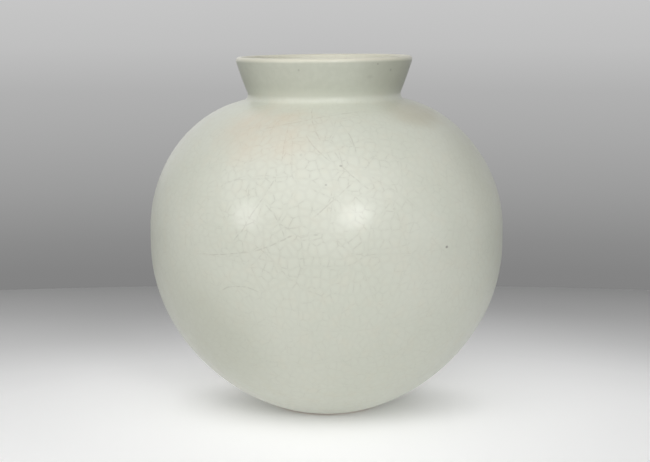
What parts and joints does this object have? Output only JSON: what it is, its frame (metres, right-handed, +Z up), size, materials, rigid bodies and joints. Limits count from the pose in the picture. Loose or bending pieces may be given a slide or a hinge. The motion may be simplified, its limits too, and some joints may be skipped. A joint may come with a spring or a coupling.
{
  "type": "moon jar",
  "caption": "Large round porcelain jar: thrown bowls luted rim to rim, a short flared collar, a low hidden foot ring and a crackled off-white glaze.",
  "frame": {"origin": "centre of the circle on which the foot rests, on the ground plane", "axes": "+Z up along the jar's axis, -Y towards the side that the picture shows"},
  "size_m": [0.416, 0.416, 0.4152],
  "materials": {
    "clay_body": "matte",
    "foot_clay": "matte",
    "slip_joint": "matte",
    "crackled_glaze": "satin",
    "lining_glaze": "satin",
    "recess_glaze": "satin"
  },
  "bodies": {
    "root": {"foot_ring": "foot_clay", "foot_slip": "slip_joint", "lower_bowl": "clay_body", "belly_slip": "slip_joint", "upper_bowl": "clay_body", "neck_slip": "slip_joint", "neck_collar": "clay_body", "outer_glaze": "crackled_glaze", "inner_glaze": "lining_glaze", "foot_recess_glaze": "recess_glaze"}
  },
  "joints": []
}
